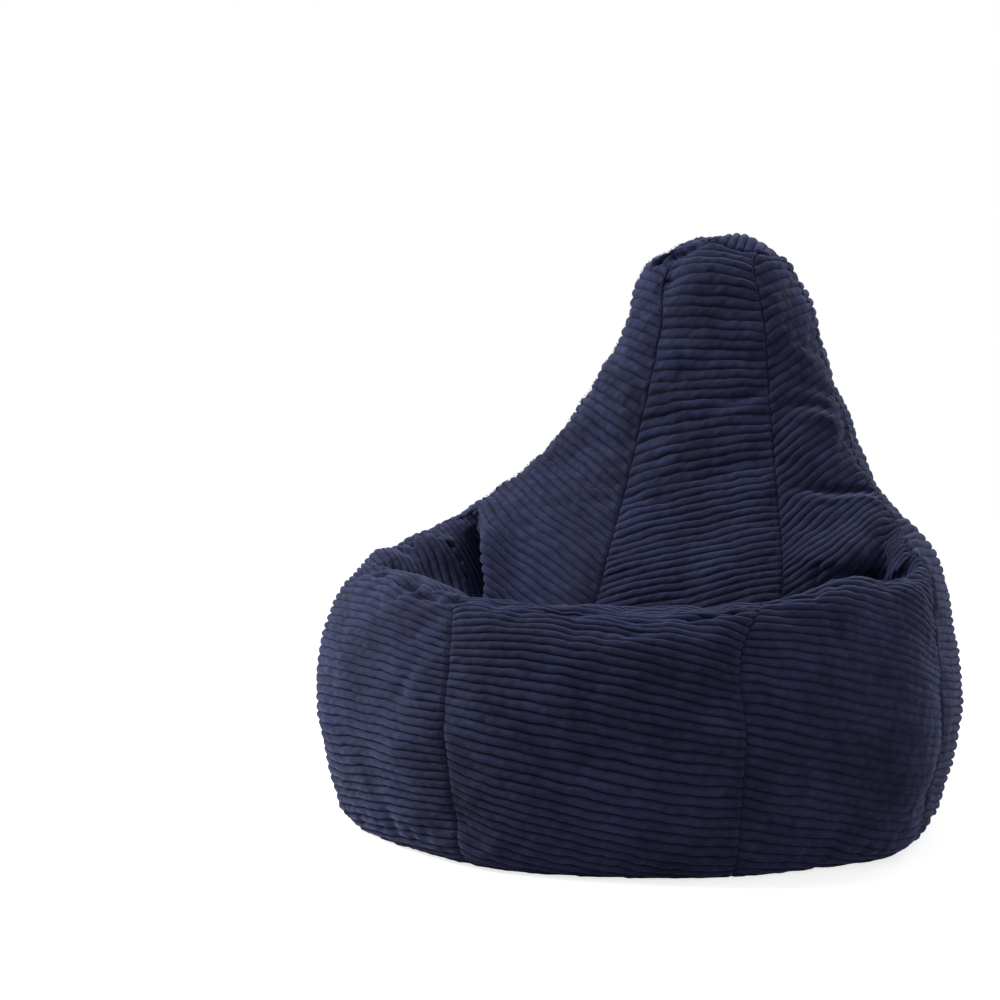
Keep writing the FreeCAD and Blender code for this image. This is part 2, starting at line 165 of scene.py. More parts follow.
RIB_MIDDLE = 0.62          # share of a rib's height at which pressed cord lies
RIB_SUNK = 0.55            # share of a rib's height that lies below the drawn surface
SEAM_TUG = 0.0020          # most that the stitches pull the cloth in beside a seam
SEAM_TUG_WIDTH = 0.020     # how far from the seam they pull
FOOT_FADE = 0.03           # folds and unevenness fade out over this height above the floor
GROUND_GAP = 0.0015        # the panels end this far above the floor
BASE_GAP = 0.0004          # the base panel's ribs end this far above the floor

FILLING_FRAMES = 20        # frames of the cloth simulation
CAP_RINGS = 60             # rings of the cap, from its edge to its middle
CAP_FINER = 4              # places of the cap's edge for each grid column
CAP_CREASE = ((.085, .190, .805), (1, .5, .1), .045, .009)     # middle, direction, half length, half width
CAP_CREASE_DEPTH = 0.006
CAP_ALLOWANCE_INSET = 0.006    # how far behind the gores the cap's seam allowance ends
BASE_RINGS = 150
BASE_FINER = 3
BASE_RIB_HEIGHT = 0.0022
BASE_TURN_UP = 0.004       # how far the base panel's edge turns up

STITCH_OFFSET = 0.0062     # how far the top-stitching runs from its seam
STITCH_PITCH = 0.0062      # from one stitch to the next
STITCH_LENGTH = 0.0044
STITCH_RADIUS = 0.00045
TAPE_DEPTH = 0.0085        # how far the seam tapes lie behind the cloth
SEAM_TAPE_WIDTH = 0.014    # over the six seams between the panels
EDGE_TAPE_WIDTH = 0.012    # over the base seam and the crown seam
TAPE_THICKNESS = 0.001
ZIP_SINK = 0.009           # how far the cloth drops under the zip let into the back panel

LINER_DEPTH = 0.026        # how far the liner lies inside the smooth bag
LINER_FLOOR = 0.006        # and how far above the floor
BEADS_DEPTH = 0.032        # the same for the beads
BEADS_FLOOR = 0.009
FOLD_MARGIN_ALONG = 1.2    # a fold presses the liner in over a little more than its own length and width
FOLD_MARGIN_SIDE = 1.5


# ---------------------------------------------------------------- sizes a user may change

class BeanBagSizes(bpy.types.PropertyGroup):
    rib_pitch: bpy.props.FloatProperty(
        name="Rib pitch", description="From one cord rib to the next",
        default=0.0124, min=0.006, max=0.04, unit="LENGTH")
    rib_height: bpy.props.FloatProperty(
        name="Rib height", description="How far a rib stands above the groove beside it",
        default=0.0048, min=0.0, max=0.01, unit="LENGTH")
    seam_width: bpy.props.FloatProperty(
        name="Seam width", description="Half the width over which the cloth turns in at a seam",
        default=0.0030, min=0.002, max=0.03, unit="LENGTH")
    seam_depth: bpy.props.FloatProperty(
        name="Seam depth", description="How far a seam is drawn in",
        default=0.0019, min=0.0, max=0.02, unit="LENGTH")
    swell: bpy.props.FloatProperty(
        name="Swell", description="Most that the filling may push the cloth out",
        default=0.0075, min=0.0, max=0.03, unit="LENGTH")


class BeanBagColours(bpy.types.PropertyGroup):
    cord: bpy.props.FloatVectorProperty(
        name="Cord", description="Colour of the cord's pile", subtype="COLOR", size=3,
        min=0.0, max=1.0, default=(0.0150, 0.0170, 0.0470))
    sheen: bpy.props.FloatVectorProperty(
        name="Pile sheen", description="Colour that the brushed pile shows at a low angle", subtype="COLOR",
        size=3, min=0.0, max=1.0, default=(0.36, 0.40, 0.78))
    thread: bpy.props.FloatVectorProperty(
        name="Thread", description="Colour of the top-stitching", subtype="COLOR", size=3,
        min=0.0, max=1.0, default=(0.0070, 0.0080, 0.0210))
    liner: bpy.props.FloatVectorProperty(
        name="Liner", description="Colour of the inner bag", subtype="COLOR", size=3,
        min=0.0, max=1.0, default=(0.62, 0.62, 0.60))


# ---------------------------------------------------------------- curves and surfaces

def spline_slopes(knots, values):
    """Second-derivative terms of the natural cubic through values (first axis along the knots)."""
    count = len(knots)
    step = np.diff(knots)
    system = np.zeros((count, count))
    right = np.zeros((count,) + values.shape[1:])
    system[0, 0] = system[-1, -1] = 1.0
    for i in range(1, count - 1):
        system[i, i - 1:i + 2] = step[i - 1], 2 * (step[i - 1] + step[i]), step[i]
        right[i] = 3 * ((values[i + 1] - values[i]) / step[i] - (values[i] - values[i - 1]) / step[i - 1])
    return np.linalg.solve(system, right.reshape(count, -1)).reshape(right.shape)


def spline_eval(knots, values, bends, places):
    """The natural cubic at places; places may differ per trailing column when it is two-dimensional."""
    index = np.clip(np.searchsorted(knots, places, side="right") - 1, 0, len(knots) - 2)
    step = np.diff(knots)[index]
    off = places - knots[index]
    if places.ndim == 1:
        low, high, bend, bend_next = values[index], values[index + 1], bends[index], bends[index + 1]
    else:
        column = np.arange(places.shape[1])[None, :]
        low, high = values[index, column], values[index + 1, column]
        bend, bend_next = bends[index, column], bends[index + 1, column]
    while off.ndim < low.ndim:
        off, step = off[..., None], step[..., None]
    slope = (high - low) / step - step * (2 * bend + bend_next) / 3
    return low + slope * off + bend * off ** 2 + (bend_next - bend) / (3 * step) * off ** 3


def spline(knots, values, places):
    """The natural cubic through values, at places."""
    return spline_eval(knots, values, spline_slopes(knots, values), places)


def ring_spline(loop, finer):
    """A closed loop of places made finer by a cubic that runs on past both its ends."""
    count = len(loop)
    turn = np.arange(-6, count + 6)
    return spline(turn.astype(float), loop[turn % count], np.arange(count * finer) / finer)


def ring_quads(rings, count, facing_down=False):
    """Quads between closed rings of count places each."""
    index = np.arange(rings * count).reshape(rings, count)
    after = np.roll(index, -1, 1)
    quads = np.stack([index[:-1], after[:-1], after[1:], index[1:]], -1).reshape(-1, 4)
    return np.roll(quads[:, ::-1], 1, 1) if facing_down else quads


def smooth_step(low, high, value):
    """0 below low, 1 above high, and an even S between."""
    t = np.clip((value - low) / (high - low), 0.0, 1.0)
    return t * t * (3 - 2 * t)


def grid_normals(grid):
    """Unit normals of a (columns, rows, 3) grid that closes round the bag, pointing out of it."""
    across = np.roll(grid, -1, 0) - np.roll(grid, 1, 0)
    normal = np.cross(across, np.gradient(grid, axis=1))
    return normal / np.maximum(np.linalg.norm(normal, axis=-1, keepdims=True), 1e-12)


def waves(points, wavelength, seed, octaves=2):
    """Smooth, repeatable unevenness between about -1 and 1 at points in space."""
    rng = np.random.default_rng(seed)
    total = np.zeros(points.shape[:-1])
    strength = 1.0
    for octave in range(octaves):
        for _ in range(6):
            heading = rng.normal(size=3)
            heading /= np.linalg.norm(heading)
            turn = 2 * math.pi / (wavelength / 2 ** octave) * rng.uniform(0.7, 1.3)
            total += strength * np.sin(points @ heading * turn + rng.uniform(0, 2 * math.pi)) / 3.2
        strength *= 0.5
    return total


def to_frame(points):
    """Scale the drawn outline to the size of the model in the frame."""
    low, high = np.array(CAD_BOX[0]), np.array(CAD_BOX[1])
    wide = (high[0] - low[0]) / NOMINAL_WIDTH
    tall = (high[2] - low[2]) / NOMINAL_HEIGHT
    return np.asarray(points, float) * [wide, wide, tall]


def outline_columns():
    """The seams' and panel middles' outlines, from the base edge to the crown seam."""
    columns = []
    for _, direction, upper in UPPER:
        turn = math.radians(direction)
        lower = [(r * math.cos(turn), r * math.sin(turn), z) for r, z in BELLY]
        columns.append(lower + upper)
    return to_frame(columns)


def bag_surface(across, up):
    """Smooth bag: (12 * across, up + 1, 3) places, from the front middle round by the right."""
    columns = outline_columns()
    lengths = np.linalg.norm(np.diff(columns, axis=1), axis=2).mean(0)
    knots = np.concatenate([[0.0], np.cumsum(lengths)])
    knots /= knots[-1]
    places = np.linspace(0, 1, up + 1)
    rows = np.stack([spline(knots, column, places) for column in columns])
    wrapped = np.concatenate([rows] * 3)
    turn = np.arange(len(wrapped), dtype=float) - len(rows)
    return spline(turn, wrapped, np.arange(len(rows) * across) / across)


# ---------------------------------------------------------------- folds and wrinkles

def fold_weight(surface, centre, along, length, width):
    """How strongly a fold acts at each place: 1 on its line, fading to 0 across and past its ends."""
    along = np.asarray(along, float) / np.linalg.norm(along)
    off = surface - to_frame(centre)
    run = off @ along
    side = np.linalg.norm(off - run[..., None] * along, axis=-1)
    return np.exp(-(side / width) ** 2) * np.exp(-(run / length) ** 4)


# Large folds: middle, direction, half length, half width, push (metres).
FOLDS = [
    # left: the wing's edge stands over a deep pocket, with bunched cloth between it and the arm
    ((-.196, -.048, .348), (-.30, .70, 1), .085, .021, (-.010, -.036, .002)),
    ((-.226, -.030, .338), (-.32, .66, 1), .075, .021, (.006, .062, -.028)),
    ((-.250, .022, .402), (-.35, .40, 1), .040, .014, (.004, .022, -.012)),
    ((-.290, -.035, .358), (-.45, .10, .80), .050, .020, (-.002, -.018, .012)),
    ((-.335, -.085, .350), (.6, -.5, -.3), .060, .026, (-.002, -.016, .014)),
    # right: a dark pocket between the wing and the rim
    ((.300, -.124, .324), (1, .40, .06), .080, .025, (-.004, .050, -.044)),
    ((.306, -.050, .382), (1, .35, -.15), .078, .034, (.002, -.056, -.016)),
    # the seam at the top left of the backrest lies in a deep crease
    ((.010, .115, .740), (-.1, -.30, 1), .055, .014, (.000, .014, .000)),
    # back: fuller round the liner's zip, and creased a little above it
    ((.000, .428, .110), (1, 0, 0), .230, .070, (0, .010, 0)),
    ((.120, .335, .600), (1, -.2, .20), .070, .020, (0, -.010, 0)),
    ((-.100, .335, .500), (1, .3, -.20), .090, .022, (0, -.012, 0)),
    ((.180, .345, .420), (1, -.3, .15), .090, .022, (0, -.012, 0)),
    ((-.330, .220, .400), (.3, 1, -.10), .090, .020, (.011, 0, -.005)),
    ((.330, .230, .390), (-.3, 1, .10), .090, .020, (-.011, 0, -.005)),
]

# Creases pressed into the finished cloth: the same terms.
CREASES = [
    # bunched cloth in the left pocket and over the arm
    ((-.260, -.024, .350), (-.42, .10, .85), .044, .008, (.002, -.013, .004)),
    ((-.274, -.028, .350), (-.46, .10, .82), .044, .007, (.004, .012, -.006)),
    ((-.289, -.036, .350), (-.50, .10, .80), .042, .008, (-.002, -.013, .005)),
    ((-.304, -.044, .348), (-.52, .10, .80), .040, .007, (.004, .012, -.006)),
    ((-.319, -.052, .344), (-.54, .10, .78), .034, .008, (-.002, -.011, .005)),
    ((-.264, -.028, .372), (.8, .3, .5), .020, .005, (.000, .007, -.003)),
    ((-.258, -.037, .350), (.8, .3, .5), .024, .005, (.000, .008, -.003)),
    ((-.246, -.048, .326), (.8, .3, .5), .024, .005, (.000, .008, -.003)),
    # right wing: two ridges with a groove above each, and the tucks at the pocket's end
    ((.262, .040, .450), (1, .35, .05), .055, .008, (.002, .013, -.002)),
    ((.270, .030, .434), (1, .35, .05), .060, .011, (.000, -.011, .003)),
    ((.215, .088, .565), (1, .30, .05), .036, .008, (.000, .010, .000)),
    ((.225, .085, .548), (1, .30, .05), .046, .011, (.000, -.010, .002)),
    ((.245, -.085, .325), (.1, .3, 1), .035, .006, (.004, .010, .000)),
    ((.262, -.090, .322), (.1, .3, 1), .035, .006, (.004, .010, .000)),
    # backrest: a slanting kink
    ((.115, .064, .552), (1, 0, .42), .055, .012, (.000, -.007, .002)),
    ((.118, .070, .572), (1, 0, .42), .050, .009, (.000, .007, .000)),
    ((.060, .030, .470), (1, 0, -.25), .060, .014, (.000, .005, .000)),
    # top: bunched cloth beside the crown, running up to the cap
    ((.036, .150, .796), (1, .35, .55), .034, .007, (.000, .008, -.007)),
    ((.022, .156, .792), (1, .35, .60), .032, .006, (.000, -.005, .006)),
    ((.007, .160, .786), (1, .35, .60), .030, .006, (.000, .007, -.006)),
    ((-.008, .165, .778), (1, .35, .55), .028, .006, (.000, -.004, .004)),
    # rim: gathers where the wall turns over
    ((-.352, -.160, .342), (.7, -.6, -.30), .040, .007, (.003, .006, -.010)),
    ((-.318, -.205, .345), (.8, -.5, -.40), .036, .006, (.003, .007, -.011)),
    ((-.285, -.245, .342), (.8, -.5, -.30), .040, .006, (.003, .007, -.011)),
    ((-.232, -.300, .334), (.8, -.4, -.30), .050, .006, (.002, .008, -.010)),
    ((-.180, -.345, .322), (.9, -.3, -.25), .055, .006, (.001, .010, -.012)),
    ((-.120, -.365, .318), (1, -.1, -.15), .055, .006, (.000, .009, -.013)),
    ((-.050, -.385, .312), (1, 0, .08), .060, .005, (.000, .009, -.011)),
    ((.010, -.372, .318), (1, 0, .10), .050, .006, (.000, .004, -.007)),
    ((.065, -.398, .292), (1, .1, -.08), .060, .008, (.000, .007, -.002)),
    ((.110, -.375, .316), (1, .2, .14), .045, .005, (.000, .008, -.012)),
    ((.165, -.355, .318), (1, .4, .20), .035, .005, (.000, .008, -.012)),
    ((.245, -.300, .335), (1, .7, .12), .040, .007, (.000, .004, -.006)),
    ((.300, -.250, .340), (1, .8, .10), .040, .006, (-.002, .003, -.006)),
    ((.362, -.165, .340), (.5, 1, .05), .045, .007, (-.004, .002, -.007)),
    # walls: shallow pulls either side of the front seams
    ((-.215, -.380, .240), (.5, -.3, 1), .060, .012, (.001, .004, .000)),
    ((.215, -.375, .240), (-.3, -.1, 1), .060, .012, (-.001, .004, .000)),
    ((.060, -.430, .150), (1, .1, .20), .110, .018, (.000, .004, .000)),
]


# Places where the cord lies pressed flat: middle, direction, half length, half width, share lost.
PRESSED = [
    ((.400, -.190, .200), (0, 0, 1), .190, .160, .62),
    ((.240, .060, .530), (-.30, .36, 1), .240, .075, .46),
    ((-.335, -.080, .350), (.6, -.5, -.3), .060, .035, .60),
    ((-.150, .020, .420), (0, .3, 1), .080, .060, .20),
]


def rib_left(surface):
    """How much of the ribs' height is left at each place."""
    return 1 - sum(fold_weight(surface, *place[:4]) * place[4] for place in PRESSED)


def pushed(surface, folds):
    """How far a list of folds moves each place of a surface."""
    return sum(fold_weight(surface, *fold[:4])[..., None] * fold[4] for fold in folds)


def folded(surface):
    """The smooth bag with its folds and slight unevenness."""
    normal = grid_normals(surface)
    uneven = 0.0030 * waves(surface, 0.20, 3) + 0.0012 * waves(surface, 0.06, 8)
    foot = smooth_step(0.0, FOOT_FADE, surface[..., 2])[..., None]
    return surface + foot * (pushed(surface, FOLDS) + normal * uneven[..., None])


def seam_columns():
    """Grid columns on which the six seams lie, starting with the front right one."""
    return [COARSE_ACROSS * (2 * k + 1) for k in range(len(GORES))]


def filled(surface, most):
    """Let the filling swell the cloth between its seams, by cloth simulation."""
    around, rows = surface.shape[:2]
    mesh = bpy.data.meshes.new("filling_trial")
    quads = [(i * rows + j, (i + 1) % around * rows + j, (i + 1) % around * rows + j + 1, i * rows + j + 1)
             for i in range(around) for j in range(rows - 1)]
    mesh.from_pydata(surface.reshape(-1, 3).tolist(), [], quads)
    trial = bpy.data.objects.new("filling_trial", mesh)
    bpy.context.scene.collection.objects.link(trial)
    held = trial.vertex_groups.new(name="sewn")
    sewn = np.zeros((around, rows), bool)
    sewn[seam_columns()] = True
    sewn[:, :4] = True
    sewn[:, -3:] = True
    held.add(np.flatnonzero(sewn).tolist(), 1.0, "REPLACE")
    cloth = trial.modifiers.new("Cloth", "CLOTH")
    setting = cloth.settings
    setting.quality = 6
    setting.mass = 0.4
    setting.tension_stiffness = setting.compression_stiffness = 25
    setting.shear_stiffness = 12
    setting.bending_stiffness = 4.0
    setting.vertex_group_mass = "sewn"
    setting.shrink_min = setting.shrink_max = -0.009
    setting.use_pressure = True
    setting.uniform_pressure_force = 2.6
    setting.effector_weights.gravity = 0.0
    cloth.collision_settings.use_collision = False
    scene = bpy.context.scene
    cloth.point_cache.frame_start, cloth.point_cache.frame_end = 1, FILLING_FRAMES
    for number in range(1, FILLING_FRAMES + 1):
        scene.frame_set(number)
    ready = trial.evaluated_get(bpy.context.evaluated_depsgraph_get())
    flat = np.empty(around * rows * 3)
    ready.data.vertices.foreach_get("co", flat)
    scene.frame_set(1)
    bpy.data.objects.remove(trial)
    moved = flat.reshape(surface.shape) - surface
    size = np.linalg.norm(moved, axis=-1, keepdims=True)
    moved *= most * np.tanh(size / most) / np.maximum(size, 1e-9)
    return surface + moved


# ---------------------------------------------------------------- panels laid flat, and their ribs

def row_solver(matrix, size):
    """A solver for a symmetric matrix that ties each row of size places only to the rows beside it."""
    count = len(matrix) // size
    part = [slice(k * size, (k + 1) * size) for k in range(count)]
    inverse = [np.linalg.inv(matrix[part[0], part[0]])]
    for k in range(1, count):
        tie = matrix[part[k], part[k - 1]]
        inverse.append(np.linalg.inv(matrix[part[k], part[k]] - tie @ inverse[-1] @ tie.T))

    def solve(right):
        carried = [right[part[0]]]
        for k in range(1, count):
            carried.append(right[part[k]] - matrix[part[k], part[k - 1]] @ (inverse[k - 1] @ carried[-1]))
        found = [inverse[-1] @ carried[-1]]
        for k in range(count - 2, -1, -1):
            found.append(inverse[k] @ (carried[k] - matrix[part[k], part[k + 1]] @ found[-1]))
        return np.concatenate(found[::-1])

    return solve


def laid_flat(grid):
    """Flat places of a (columns, rows, 3) panel that keep its lengths as well as they can."""
    columns, rows = grid.shape[:2]
    points = grid.transpose(1, 0, 2).reshape(-1, 3)
    index = np.arange(columns * rows).reshape(rows, columns).T
    a, b = index[:-1, :-1].ravel(), index[1:, :-1].ravel()
    c, d = index[1:, 1:].ravel(), index[:-1, 1:].ravel()
    # Each square of the grid is split both ways, so that neither diagonal is the stiffer one.
    triangles = np.concatenate([np.stack([a, b, c], 1), np.stack([a, c, d], 1),
                                np.stack([a, b, d], 1), np.stack([b, c, d], 1)])
    # Every triangle in flat coordinates of its own.
    corner = points[triangles]
    first = corner[:, 1] - corner[:, 0]
    other = corner[:, 2] - corner[:, 0]
    length = np.linalg.norm(first, axis=1)
    axis = first / length[:, None]
    along = (other * axis).sum(1)
    height = np.linalg.norm(other - along[:, None] * axis, axis=1)
    local = np.zeros((len(triangles), 3, 2))
    local[:, 1, 0] = length
    local[:, 2, 0] = along
    local[:, 2, 1] = height
    # Each edge is as stiff as the cotangent of the angle across from it.
    total = len(points)
    matrix = np.zeros((total, total))
    edges = []
    for i, j, k in ((0, 1, 2), (1, 2, 0), (2, 0, 1)):
        u = local[:, i] - local[:, k]
        v = local[:, j] - local[:, k]
        twice_area = np.abs(u[:, 0] * v[:, 1] - u[:, 1] * v[:, 0])
        weight = np.clip((u * v).sum(1) / np.maximum(twice_area, 1e-9), 0.05, 8)
        one, two = triangles[:, i], triangles[:, j]
        np.add.at(matrix, (one, one), weight)
        np.add.at(matrix, (two, two), weight)
        np.add.at(matrix, (one, two), -weight)
        np.add.at(matrix, (two, one), -weight)
        edges.append((i, j, weight))
    matrix[0, 0] += 1.0        # holds the first place, so that the rest have one answer
    solve = row_solver(matrix, columns)
    # To start with, each row is laid out straight from the panel's middle column.
    middle = columns // 2
    step = np.linalg.norm(np.diff(grid[middle], axis=0), axis=1)
    up = np.concatenate([[0.0], np.cumsum(step)])
    side = np.linalg.norm(np.diff(grid, axis=0), axis=2)
    side = np.concatenate([np.zeros((1, rows)), np.cumsum(side, 0)])
    flat = np.stack([side - side[middle], np.broadcast_to(up, side.shape)], -1)
    flat = flat.transpose(1, 0, 2).reshape(-1, 2)
    # In each round every triangle is turned to fit, and then all the places are solved together.
    for _ in range(FLAT_TURNS):
        shape = flat[triangles]
        spread = np.zeros((len(triangles), 2, 2))
        for i, j, weight in edges:
            spread += weight[:, None, None] * np.einsum("ta,tb->tab", shape[:, i] - shape[:, j],
                                                        local[:, i] - local[:, j])
        turn = np.arctan2(spread[:, 1, 0] - spread[:, 0, 1], spread[:, 0, 0] + spread[:, 1, 1])
        cosine, sine = np.cos(turn), np.sin(turn)
        rotation = np.stack([np.stack([cosine, -sine], -1), np.stack([sine, cosine], -1)], 1)
        right = np.zeros((total, 2))
        for i, j, weight in edges:
            pull = weight[:, None] * np.einsum("tab,tb->ta", rotation, local[:, i] - local[:, j])
            np.add.at(right, triangles[:, i], pull)
            np.add.at(right, triangles[:, j], -pull)
        right[0] += flat[0]
        flat = solve(right)
    return flat.reshape(rows, columns, 2).transpose(1, 0, 2)


def rib_profile(phase):
    """Height of a cord rib, 0 in the groove and 1 on its rounded top."""
    return np.abs(np.sin(math.pi * phase)) ** 0.55


def rib_levels(grid, name):
    """Distance up a panel at which each place lies on the cord's own grain, from the panel laid flat."""
    columns, rows = grid.shape[:2]
    flat = laid_flat(grid[:, ::FLAT_SKIP])
    spine = flat[columns // 2]
    heading = (spine[-1] - spine[0]) / np.linalg.norm(spine[-1] - spine[0])
    level = (flat - spine[0]) @ heading
    off = (flat - spine[None]) @ [heading[1], -heading[0]]
    share = np.linspace(0, 1, level.shape[1])
    slant = np.interp(share, SLANT_SHARES, np.tan(np.radians(RIB_SLANTS[name])))
    smooth = np.convolve(np.pad(slant, 4, "edge"), np.full(9, 1 / 9), "valid")
    level -= smooth[None] * off
    # Where the cord is drawn wider, the same distance holds fewer ribs.
    marks = np.linspace(level.min(), level.max(), 400)
    draw = np.interp(marks / level[columns // 2, -1], DRAW_SHARES, CORD_DRAW)
    ribs = np.concatenate([[0.0], np.cumsum(np.diff(marks) / ((draw[1:] + draw[:-1]) / 2))])
    level = np.interp(level, marks, ribs)
    knots = np.arange(rows, dtype=float)
    return spline(knots[::FLAT_SKIP], level.T, knots).T


def seam_sink(sizes, press):
    """How far the cloth is drawn in at a seam, where press runs from 0 on the seam to 1 clear of it."""
    return sizes.seam_depth * (1 - press) ** 1.4


def panel_places(number, sizes):
    """Finished places of one panel: its grid resampled along its ribs, with ribs and sewn edges."""
    grid, grid_normal = gore_grid(number)
    columns, rows = grid.shape[:2]
    knots = np.arange(rows, dtype=float)
    level = rib_levels(grid, GORES[number])

    # Finer across, by a cubic through the coarse columns.
    coarse = np.linspace(0, 1, columns)
    fine = np.linspace(0, 1, FINE_ACROSS + 1)
    wide = spline(coarse, grid, fine)
    level = spline(coarse, level, fine)
    wobble = 0.20 * waves(wide, 0.30, 21) + 0.10 * waves(wide, 0.09, 22) + 0.045 * waves(wide, 0.03, 23)
    phase = level / sizes.rib_pitch + wobble
    phase = np.maximum.accumulate(phase + 1e-4 * knots[None, :], axis=1)

    # The same number of mesh rows for every rib, each following the cord's grain.
    low = math.floor(phase.min())
    high = math.ceil(phase.max())
    marks = np.arange(low * ROWS_PER_RIB, high * ROWS_PER_RIB + 1) / ROWS_PER_RIB
    place = np.stack([np.interp(marks, column, knots) for column in phase], 1)
    bends = spline_slopes(knots, wide.transpose(1, 0, 2))
    body = spline_eval(knots, wide.transpose(1, 0, 2), bends, place)        # (marks, fine, 3)
    normal = spline(coarse, grid_normal, fine).transpose(1, 0, 2)
    normal = spline_eval(knots, normal, spline_slopes(knots, normal), place)
    normal /= np.linalg.norm(normal, axis=-1, keepdims=True)

    # How far each place is from its panel's nearest edge, and how clear of the seam that is.
    across = np.linalg.norm(np.diff(body, axis=1), axis=2)
    from_left = np.concatenate([np.zeros((len(marks), 1)), np.cumsum(across, 1)], 1)
    from_seam = np.minimum(from_left, from_left[:, -1:] - from_left)
    crown_side = np.interp(place, knots, np.arange(rows)[::-1] / rows) * PANEL_LENGTH
    base_side = place / rows * PANEL_LENGTH
    edge = np.minimum(from_seam, np.minimum(crown_side, base_side * 2 + 0.004))
    press = smooth_step(0.0, sizes.seam_width, edge)

    # Creases fade out at the foot and at the crown seam, and the cloth's normals follow them.
    free = smooth_step(0.0, FOOT_FADE, body[..., 2]) * smooth_step(0.004, 0.040, crown_side)
    creased = body + free[..., None] * pushed(body, CREASES)
    fresh = np.cross(np.gradient(creased, axis=1), np.gradient(creased, axis=0))
    strength = np.linalg.norm(fresh, axis=-1, keepdims=True)
    fresh = np.where(strength > 1e-9, fresh / np.maximum(strength, 1e-9), normal)
    share = press[..., None] * (np.sum(fresh * normal, -1, keepdims=True) > 0.2)
    normal = fresh * share + normal * (1 - share)
    normal /= np.linalg.norm(normal, axis=-1, keepdims=True)

    # The ribs, fuller here and flatter there, drawn in at the seams.
    rib = rib_profile(np.broadcast_to(marks[:, None], place.shape))
    full = 0.84 + 0.15 * waves(creased, 0.05, 33) + 0.12 * waves(creased, 0.013, 34, 1)
    rib = RIB_MIDDLE + (rib - RIB_MIDDLE) * rib_left(body)
    lift = sizes.rib_height * (rib * full - RIB_SUNK) * (0.15 + 0.85 * press)
    tug = 0.5 + 0.5 * waves(creased, 0.035, 31, 1)
    lift -= seam_sink(sizes, press)
    lift -= SEAM_TUG * tug * np.exp(-(edge / SEAM_TUG_WIDTH) ** 2)
    # pile is the rib height that the cord finish uses for painted shade in the grooves, with more painted
    # shade beside the seams, and a painted highlight on the rib tops.
    pile = rib * full * (0.7 + 0.3 * press)
    return body, creased, normal, lift, pile


def strip_collapsed(points):
    """Quads of a (rows, columns, 3) grid without those that have closed up at a panel's ends."""
    rows, columns = points.shape[:2]
    index = np.arange(rows * columns).reshape(rows, columns)
    corners = np.stack([index[:-1, :-1], index[:-1, 1:], index[1:, 1:], index[1:, :-1]], -1).reshape(-1, 4)
    flat = points.reshape(-1, 3)
    side = np.linalg.norm(flat[corners[:, 0]] - flat[corners[:, 3]], axis=1)
    other = np.linalg.norm(flat[corners[:, 1]] - flat[corners[:, 2]], axis=1)
    return corners[(side > 1e-6) | (other > 1e-6)]


def new_piece(name, points, faces, material, nodes=(), pile=None):
    """A finished mesh piece that rides on the bag and stands for CAD nodes."""
    mesh = bpy.data.meshes.new(name)
    points = np.asarray(points, float).reshape(-1, 3)
    if isinstance(faces, np.ndarray):
        used = np.unique(faces)
        pile = None if pile is None else pile.reshape(-1)[used]
        renumber = np.full(len(points), -1)
        renumber[used] = np.arange(len(used))
        points, faces = points[used], renumber[faces].tolist()
    mesh.from_pydata(points.tolist(), [], faces)
    mesh.validate()
    mesh.update()
    mesh.polygons.foreach_set("use_smooth", np.ones(len(mesh.polygons), bool))
    # The pile attribute holds the rib height, which the cord finish turns into painted shade in the grooves
    # and beside the seams and a painted highlight on the rib tops.
    if pile is not None:
        layer = mesh.attributes.new("pile", "FLOAT", "POINT")
        layer.data.foreach_set("value", np.clip(pile, 0, 1))
    piece = bpy.data.objects.new(name, mesh)
    bpy.context.scene.collection.objects.link(piece)
    mesh.materials.append(material)
    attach(piece, BODY)
    if nodes:
        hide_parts(*nodes)
    return piece


# ---------------------------------------------------------------- finishes

def node_tree(name):
    """A new material, its node tree and its shader."""
    material = bpy.data.materials.new(name)
    material.use_nodes = True
    tree = material.node_tree
    shader = tree.nodes["Principled BSDF"]
    return material, tree, shader


def noise(tree, where, scale, detail):
    """Noise at places of the piece itself."""
    node = tree.nodes.new("ShaderNodeTexNoise")
    node.inputs["Scale"].default_value = scale
    node.inputs["Detail"].default_value = detail
    node.inputs["Roughness"].default_value = 0.55
    tree.links.new(where, node.inputs["Vector"])
    return node.outputs["Fac"]


def ramp(tree, value, low, high, dark, light):
    """The colour for a value: dark up to low, light from high."""
    node = tree.nodes.new("ShaderNodeValToRGB")
    node.color_ramp.elements[0].position = low
    node.color_ramp.elements[1].position = high
    node.color_ramp.elements[0].color = (*dark, 1)
    node.color_ramp.elements[1].color = (*light, 1)
    tree.links.new(value, node.inputs["Fac"])
    return node.outputs["Color"]


def mixed(tree, kind, one, two):
    """Two colours blended into one."""
    node = tree.nodes.new("ShaderNodeMix")
    node.data_type = "RGBA"
    node.blend_type = kind
    node.inputs[0].default_value = 1.0
    tree.links.new(one, node.inputs[6])
    tree.links.new(two, node.inputs[7])
    return node.outputs[2]


def bump(tree, height, strength, distance, under=None):
    """A fine unevenness of the surface, over another one if under is given."""
    node = tree.nodes.new("ShaderNodeBump")
    node.inputs["Strength"].default_value = strength
    node.inputs["Distance"].default_value = distance
    tree.links.new(height, node.inputs["Height"])
    if under:
        tree.links.new(under, node.inputs["Normal"])
    return node.outputs["Normal"]


def scaled(colour, factor):
    """A colour made lighter or darker."""
    return tuple(channel * factor for channel in colour)


